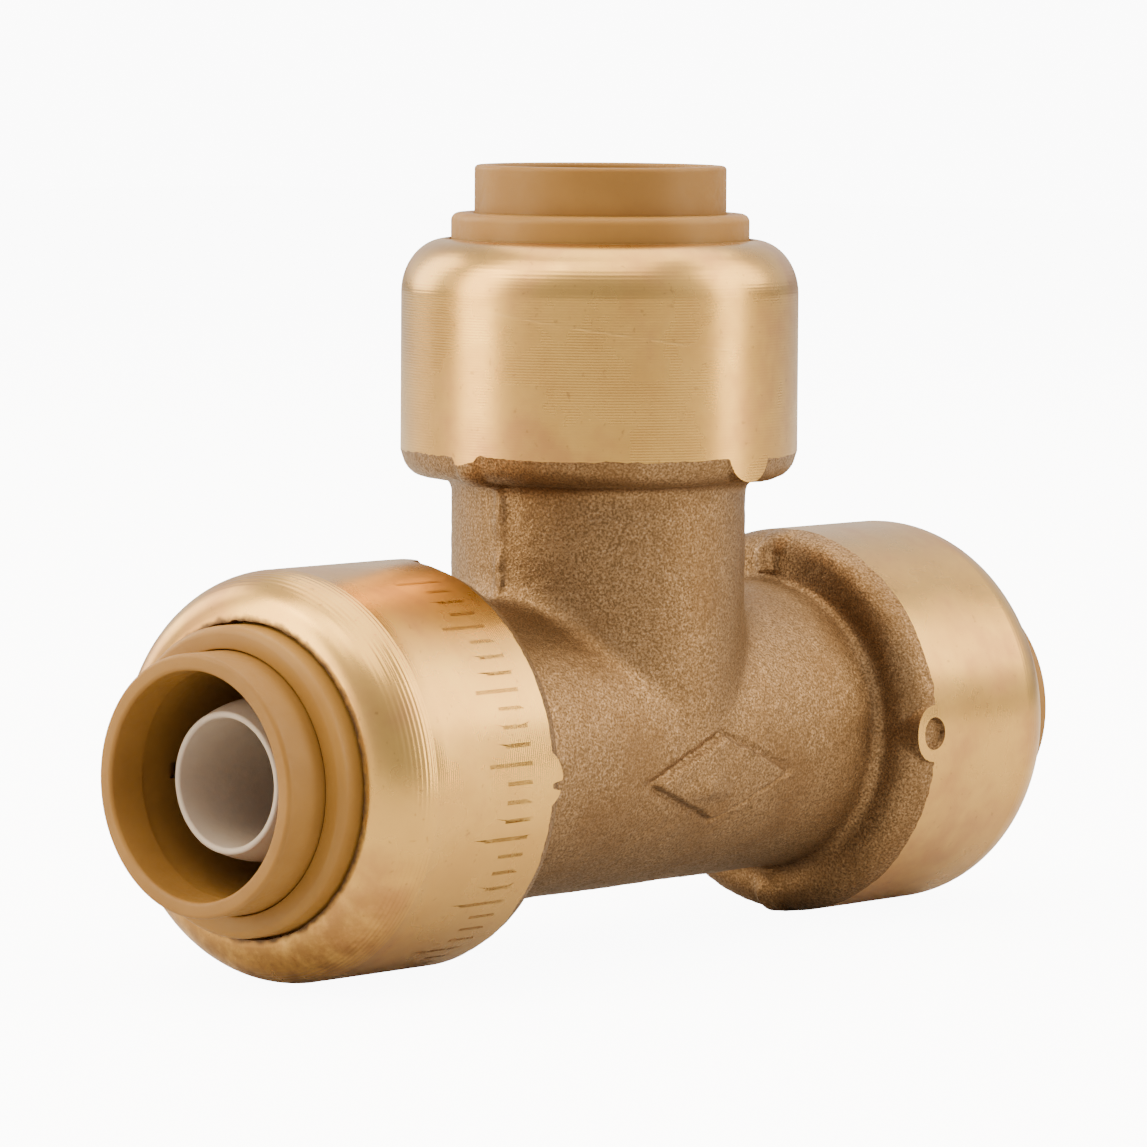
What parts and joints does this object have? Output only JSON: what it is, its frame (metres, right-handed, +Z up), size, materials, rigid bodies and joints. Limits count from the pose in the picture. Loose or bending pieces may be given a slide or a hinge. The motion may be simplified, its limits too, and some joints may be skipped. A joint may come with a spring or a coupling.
{
  "type": "push-to-connect tee fitting",
  "caption": "Brass push-to-connect equal tee with release collars, grip rings, O-rings and tube liners, joining square-cut tubes without tools.",
  "frame": {"origin": "under the tee's centre, level with the bottom of the two run cups that it stands on; the run axis is 14.6 mm above it", "axes": "+X along the run towards the right port, +Z up the branch, +Y away from the marked side"},
  "size_m": [0.0848, 0.0292, 0.0571],
  "materials": {
    "forged_brass": "machined cups, as-forged centre",
    "collar_acetal": "satin",
    "retainer_acetal": "satin",
    "stainless_steel": "stamped",
    "protector_plastic": "moulded",
    "seal_rubber": "moulded",
    "liner_plastic": "moulded, slightly translucent"
  },
  "bodies": {
    "tee": {"tee_body": "forged_brass", "collar_retainer_left": "retainer_acetal", "o_ring_protector_left": "protector_plastic", "o_ring_left": "seal_rubber", "tube_liner_left": "liner_plastic", "collar_retainer_right": "retainer_acetal", "o_ring_protector_right": "protector_plastic", "o_ring_right": "seal_rubber", "tube_liner_right": "liner_plastic", "collar_retainer_top": "retainer_acetal", "o_ring_protector_top": "protector_plastic", "o_ring_top": "seal_rubber", "tube_liner_top": "liner_plastic"},
    "grip_left": {"grip_ring_left": "stainless_steel"},
    "collar_left": {"release_collar_left": "collar_acetal"},
    "grip_right": {"grip_ring_right": "stainless_steel"},
    "collar_right": {"release_collar_right": "collar_acetal"},
    "grip_top": {"grip_ring_top": "stainless_steel"},
    "collar_top": {"release_collar_top": "collar_acetal"}
  },
  "joints": [
    {"name": "swivel_left", "type": "hinge", "parent": "tee", "child": "grip_left", "pos_m": [-0.03025, 0, 0.0146], "axis": [-1, 0, 0], "continuous": true},
    {"name": "press_left", "type": "slide", "parent": "grip_left", "child": "collar_left", "axis": [1, 0, 0], "range_m": [0, 0.0023], "stiffness_N_per_m": 400, "deforming": ["grip_ring_left"]},
    {"name": "swivel_right", "type": "hinge", "parent": "tee", "child": "grip_right", "pos_m": [0.03025, 0, 0.0146], "axis": [1, 0, 0], "continuous": true},
    {"name": "press_right", "type": "slide", "parent": "grip_right", "child": "collar_right", "axis": [-1, 0, 0], "range_m": [0, 0.0023], "stiffness_N_per_m": 400, "deforming": ["grip_ring_right"]},
    {"name": "swivel_top", "type": "hinge", "parent": "tee", "child": "grip_top", "pos_m": [0, 0, 0.04485], "axis": [0, 0, 1], "continuous": true},
    {"name": "press_top", "type": "slide", "parent": "grip_top", "child": "collar_top", "axis": [0, 0, -1], "range_m": [0, 0.0023], "stiffness_N_per_m": 400, "deforming": ["grip_ring_top"]}
  ]
}
